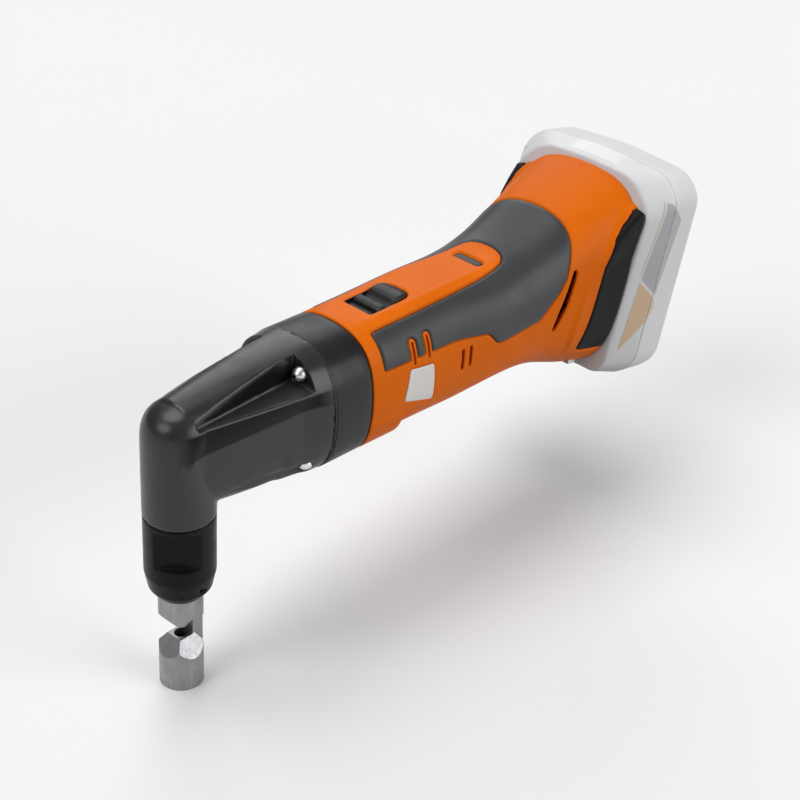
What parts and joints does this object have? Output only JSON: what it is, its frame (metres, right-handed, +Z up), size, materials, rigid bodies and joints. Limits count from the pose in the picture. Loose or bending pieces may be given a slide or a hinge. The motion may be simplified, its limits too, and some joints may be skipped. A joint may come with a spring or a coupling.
{
  "type": "cordless nibbler",
  "caption": "Right-angle hand nibbler for cutting sheet metal, with a turnable die, geared motor, slide switch, soft grip and a slide-on battery pack.",
  "frame": {"origin": "centre of the die's lower face, on the die axis", "axes": "+Z up the die axis, +X along the motor axis from the gear head to the battery, the tool's left side is -Y"},
  "size_m": [0.2536, 0.0766, 0.1426],
  "materials": {
    "head_paint": "satin",
    "orange_plastic": "fine grain",
    "soft_grip": "matt",
    "bumper": "matt",
    "black_plastic": "matt",
    "window": "smoked",
    "plate": "satin, blank",
    "holder_black": "blackened",
    "die_steel": "ground",
    "screw_steel": "zinc plated",
    "gear_steel": "oiled",
    "bearing_steel": "polished",
    "bronze": "sintered",
    "lamination": "stacked sheet",
    "copper": "enamelled wire",
    "board": "lacquered",
    "contact": "plated",
    "pack_plastic": "fine grain",
    "cell_wrap": "shrink wrap"
  },
  "bodies": {
    "body": {"gear_head": "head_paint", "gear_flange": "head_paint", "head_screws": "screw_steel", "ring_gear": "gear_steel", "shaft_bearing": "bearing_steel", "front_bush": "bronze", "ram_bush": "bronze", "holder_circlip": "gear_steel", "stator_core": "lamination", "stator_coils": "copper", "end_plate": "black_plastic", "motor_bearing_front": "bearing_steel", "motor_bearing_rear": "bearing_steel", "motor_housing": "orange_plastic", "soft_grip": "soft_grip", "rear_cap": "orange_plastic", "bumper_left": "bumper", "bumper_right": "bumper", "badge_left": "plate", "badge_right": "plate", "indicator_window": "window", "control_board": "board", "switch_module": "black_plastic", "rail_plate": "black_plastic", "contact_blades": "contact"},
    "rotor": {"rotor_shaft": "gear_steel", "rotor_core": "lamination", "sun_pinion": "gear_steel", "cooling_fan": "black_plastic"},
    "eccentric": {"eccentric_shaft": "gear_steel", "planet_pins": "gear_steel", "crank_roller": "bearing_steel"},
    "planet_1": {"planet_gear_1": "gear_steel"},
    "planet_2": {"planet_gear_2": "gear_steel"},
    "planet_3": {"planet_gear_3": "gear_steel"},
    "punch_drive": {"ram": "gear_steel", "punch": "die_steel", "punch_pin": "gear_steel"},
    "die_head": {"die": "die_steel", "die_holder": "holder_black", "die_grub_screws": "holder_black"},
    "switch": {"switch_knob": "black_plastic", "switch_rod": "black_plastic"},
    "pack": {"pack_front_shell": "pack_plastic", "pack_rear_shell": "pack_plastic", "pack_screws": "screw_steel", "pack_cells": "cell_wrap", "cell_holder": "black_plastic", "pack_board": "board"},
    "release": {"pack_button": "black_plastic"}
  },
  "joints": [
    {"name": "motor_spin", "type": "hinge", "parent": "body", "child": "rotor", "pos_m": [0.1, 0, 0.096], "axis": [1, 0, 0], "continuous": true},
    {"name": "eccentric_spin", "type": "hinge", "parent": "body", "child": "eccentric", "pos_m": [0.04, 0, 0.096], "axis": [1, 0, 0], "continuous": true},
    {"name": "planet_1_spin", "type": "hinge", "parent": "eccentric", "child": "planet_1", "pos_m": [0.058, 0, 0.10612], "axis": [1, 0, 0], "continuous": true},
    {"name": "planet_2_spin", "type": "hinge", "parent": "eccentric", "child": "planet_2", "pos_m": [0.058, -0.00877, 0.09094], "axis": [1, 0, 0], "continuous": true},
    {"name": "planet_3_spin", "type": "hinge", "parent": "eccentric", "child": "planet_3", "pos_m": [0.058, 0.00877, 0.09094], "axis": [1, 0, 0], "continuous": true},
    {"name": "punch_stroke", "type": "slide", "parent": "body", "child": "punch_drive", "axis": [0, 0, -1], "range_m": [0, 0.0045]},
    {"name": "die_swivel", "type": "hinge", "parent": "body", "child": "die_head", "pos_m": [0, 0, 0.06], "axis": [0, 0, 1], "continuous": true},
    {"name": "switch_slide", "type": "slide", "parent": "body", "child": "switch", "axis": [-1, 0, 0], "range_m": [0, 0.004]},
    {"name": "pack_slide", "type": "slide", "parent": "body", "child": "pack", "axis": [-0.1908, 0, -0.9816], "range_m": [0, 0.09]},
    {"name": "release_press", "type": "slide", "parent": "pack", "child": "release", "axis": [0.1908, 0, 0.9816], "range_m": [0, 0.0025], "stiffness_N_per_m": 1200}
  ],
  "couplings": [
    {"joint": "eccentric_spin", "follows": "motor_spin", "ratio": 0.22222},
    {"joint": "planet_1_spin", "follows": "motor_spin", "ratio": -0.62222},
    {"joint": "planet_2_spin", "follows": "motor_spin", "ratio": -0.62222},
    {"joint": "planet_3_spin", "follows": "motor_spin", "ratio": -0.62222}
  ]
}
